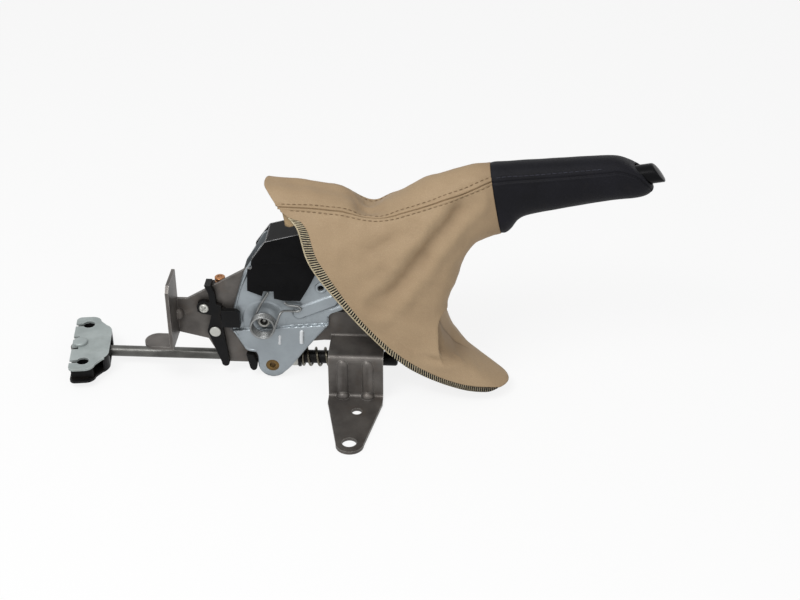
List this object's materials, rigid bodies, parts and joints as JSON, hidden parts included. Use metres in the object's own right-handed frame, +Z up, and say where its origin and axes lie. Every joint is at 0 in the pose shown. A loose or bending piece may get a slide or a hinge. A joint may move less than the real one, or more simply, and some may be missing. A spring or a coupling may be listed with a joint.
{
  "type": "parking brake lever",
  "caption": "Floor-mounted parking brake lever with a sewn grip and boot, release button, open pawl and ratchet base, sprung pull rod and a cable equalizer.",
  "frame": {"origin": "midway between the two front bolt holes, on the underside of the feet", "axes": "+X forward along the lever to the grip, +Z up, the lever swings in the plane Y = 0"},
  "size_m": [0.5239, 0.248, 0.2198],
  "materials": {
    "bracket_steel": "bare pickled sheet, dark brownish grey",
    "zinc_sheet": "bright zinc plate, slightly blue",
    "plain_steel": "plain drawn steel",
    "spring_steel": "oiled spring wire",
    "hard_steel": "hardened and oiled",
    "yellow_steel": "yellow passivated, stained",
    "pale_nut": "pale zinc plate",
    "equalizer_steel": "grey zinc plate",
    "terminal_brass": "copper coloured",
    "black_plastic": "moulded, fine grain",
    "cover_plastic": "moulded, smooth",
    "black_rubber": "moulded",
    "grip_leather": "smooth black, sewn",
    "boot_leather": "tan, fine grain, sewn"
  },
  "bodies": {
    "base": {"base_side_near": "bracket_steel", "base_side_far": "bracket_steel", "base_spacer_rear": "plain_steel", "base_spacer_front": "plain_steel", "ratchet_sector": "hard_steel", "sector_rivet": "plain_steel", "pivot_pin": "plain_steel", "rest_bumper": "black_rubber", "switch_carrier": "black_plastic", "switch_body": "black_plastic", "switch_screw": "pale_nut", "carrier_rivet": "pale_nut", "switch_terminal": "terminal_brass"},
    "plunger": {"switch_plunger": "plain_steel"},
    "lever": {"lever_cheek_near": "zinc_sheet", "lever_cheek_far": "zinc_sheet", "lever_bridge": "zinc_sheet", "lever_tube": "plain_steel", "mechanism_cover": "cover_plastic", "pawl_rivet": "zinc_sheet", "pawl_spring": "spring_steel", "boot_collar": "black_plastic", "boot": "boot_leather", "grip": "grip_leather", "spring_seat_ring": "plain_steel"},
    "pawl": {"pawl": "hard_steel"},
    "button": {"release_button": "cover_plastic", "release_rod": "plain_steel", "button_spring": "spring_steel"},
    "rod": {"trunnion": "yellow_steel", "pull_rod": "plain_steel", "adjuster_nut": "pale_nut", "spring_seat": "black_plastic", "tension_spring": "spring_steel", "end_washer": "plain_steel", "lock_nut": "plain_steel", "rod_end_cap": "black_rubber"},
    "equalizer": {"equalizer_channel": "equalizer_steel", "equalizer_insert_near": "black_plastic", "equalizer_insert_far": "black_plastic", "equalizer_pin": "equalizer_steel"}
  },
  "joints": [
    {"name": "lever_pivot", "type": "hinge", "parent": "base", "child": "lever", "pos_m": [-0.082, 0, 0.06], "axis": [0, -1, 0], "range_deg": [0, 34]},
    {"name": "button_slide", "type": "slide", "parent": "lever", "child": "button", "axis": [-0.9836, 0, -0.1805], "range_m": [0, 0.006], "stiffness_N_per_m": 600, "deforming": ["button_spring"]},
    {"name": "pawl_pivot", "type": "hinge", "parent": "lever", "child": "pawl", "pos_m": [-0.031, 0, 0.0944], "axis": [0, -1, 0], "range_deg": [0, 14.2]},
    {"name": "rod_pivot", "type": "hinge", "parent": "lever", "child": "rod", "pos_m": [-0.0765, 0, 0.0135], "axis": [0, -1, 0], "range_deg": [-32, 0]},
    {"name": "equalizer_pivot", "type": "hinge", "parent": "rod", "child": "equalizer", "pos_m": [-0.254, 0, 0.0135], "axis": [0, 0, 1], "range_deg": [-24, 8]},
    {"name": "plunger_slide", "type": "slide", "parent": "base", "child": "plunger", "axis": [0, 0, -1], "range_m": [0, 0.0026]}
  ],
  "couplings": [
    {"joint": "pawl_pivot", "follows": "button_slide", "rad_per_m": 40.72},
    {"joint": "rod_pivot", "follows": "lever_pivot", "ratio": -0.92},
    {"joint": "plunger_slide", "follows": "lever_pivot", "m_per_rad": 0.00421}
  ]
}
